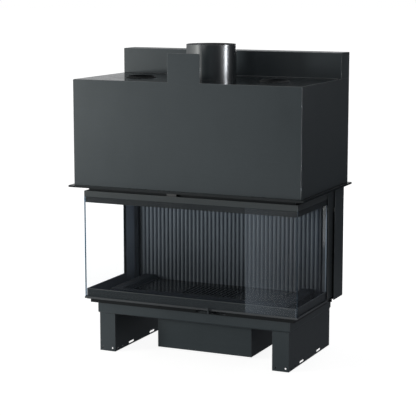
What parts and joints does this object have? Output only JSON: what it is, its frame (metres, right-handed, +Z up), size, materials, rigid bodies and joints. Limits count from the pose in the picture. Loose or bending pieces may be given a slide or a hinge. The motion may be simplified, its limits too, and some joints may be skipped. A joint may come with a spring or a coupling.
{
  "type": "three-sided fireplace insert",
  "caption": "Wood-burning fireplace insert with glass on three sides, a lift door on counterweights, a ribbed firebox, a convection housing, a round flue spigot and box-section legs.",
  "frame": {"origin": "Middle of the footprint, on the floor.", "axes": "+X is to the viewer's right of the front pane, +Y points to the rear and +Z points up."},
  "size_m": [1.005, 0.5534, 1.252],
  "materials": {
    "black_paint": "satin anthracite heat-proof paint",
    "frame_paint": "satin black heat-proof paint",
    "liner": "semi-gloss black enamel",
    "lining": "pressed black vermiculite with a faint sheen",
    "cast": "black as-cast iron",
    "pane": "clear ceramic glass",
    "bare_steel": "bare ground steel",
    "bright_trim": "fine brushed steel",
    "galvanised": "galvanised sheet",
    "seal": "black glass-fibre tape"
  },
  "bodies": {
    "frame": {"air_box": "black_paint", "back_lining_1": "lining", "back_lining_2": "lining", "back_lining_3": "lining", "back_lining_4": "lining", "baffle_lower": "lining", "baffle_upper": "lining", "base_tray": "black_paint", "bottom_flange": "black_paint", "cable_arc_left": "bare_steel", "cable_arc_right": "bare_steel", "convection_rim_left": "liner", "convection_rim_right": "liner", "firebox_back": "liner", "flue_collar": "black_paint", "guide_rail_left": "bare_steel", "guide_rail_right": "bare_steel", "hearth_pan": "cast", "housing_front": "black_paint", "housing_roof": "black_paint", "housing_side_left": "black_paint", "housing_side_right": "black_paint", "leg_bolts": "bare_steel", "leg_left": "black_paint", "leg_right": "black_paint", "lower_frame": "frame_paint", "pulley_bracket_left": "galvanised", "pulley_bracket_right": "galvanised", "rear_panel": "black_paint", "shaft_cover_left": "black_paint", "shaft_cover_right": "black_paint", "side_lining_left": "lining", "side_lining_right": "lining", "side_wall_left": "frame_paint", "side_wall_right": "frame_paint", "smoke_dome": "liner", "tower_lid": "black_paint", "tower_wrap": "black_paint", "upper_frame": "liner"},
    "door": {"door_top_bar": "frame_paint", "front_pane": "pane", "side_pane_left": "pane", "side_pane_right": "pane", "door_bottom_bar": "bright_trim", "door_seal": "seal", "door_catch": "bare_steel", "lift_carriage_left": "frame_paint", "lift_carriage_right": "frame_paint", "cable_front_left": "bare_steel", "cable_front_right": "bare_steel"},
    "counterweight_left": {"counterweight_left": "bare_steel", "cable_rear_left": "bare_steel"},
    "counterweight_right": {"counterweight_right": "bare_steel", "cable_rear_right": "bare_steel"},
    "pulley_left": {"pulley_left": "bare_steel"},
    "pulley_right": {"pulley_right": "bare_steel"},
    "air_lever": {"air_lever": "frame_paint"},
    "ash_pan": {"ash_pan": "galvanised"},
    "grate": {"grate": "cast"}
  },
  "joints": [
    {"name": "door_lift", "type": "slide", "parent": "frame", "child": "door", "axis": [0, 0, 1], "range_m": [0, 0.43], "deforming": ["cable_front_left", "cable_front_right"]},
    {"name": "counterweight_left_drop", "type": "slide", "parent": "frame", "child": "counterweight_left", "axis": [0, 0, -1], "range_m": [0, 0.43], "deforming": ["cable_rear_left"]},
    {"name": "counterweight_right_drop", "type": "slide", "parent": "frame", "child": "counterweight_right", "axis": [0, 0, -1], "range_m": [0, 0.43], "deforming": ["cable_rear_right"]},
    {"name": "pulley_left_turn", "type": "hinge", "parent": "frame", "child": "pulley_left", "pos_m": [-0.432, 0.22875, 1.168], "axis": [-1, 0, 0], "continuous": true},
    {"name": "pulley_right_turn", "type": "hinge", "parent": "frame", "child": "pulley_right", "pos_m": [0.432, 0.22875, 1.168], "axis": [-1, 0, 0], "continuous": true},
    {"name": "air_lever_slide", "type": "slide", "parent": "frame", "child": "air_lever", "axis": [1, 0, 0], "range_m": [-0.06, 0.06]},
    {"name": "ash_pan_lift_out", "type": "slide", "parent": "frame", "child": "ash_pan", "axis": [0, 0, 1], "range_m": [0, 0.25]},
    {"name": "grate_lift_out", "type": "slide", "parent": "ash_pan", "child": "grate", "axis": [0, 0, 1], "range_m": [0, 0.1]}
  ],
  "couplings": [
    {"joint": "counterweight_left_drop", "follows": "door_lift", "ratio": 1},
    {"joint": "counterweight_right_drop", "follows": "door_lift", "ratio": 1},
    {"joint": "pulley_left_turn", "follows": "door_lift", "rad_per_m": 38.462},
    {"joint": "pulley_right_turn", "follows": "door_lift", "rad_per_m": 38.462}
  ]
}
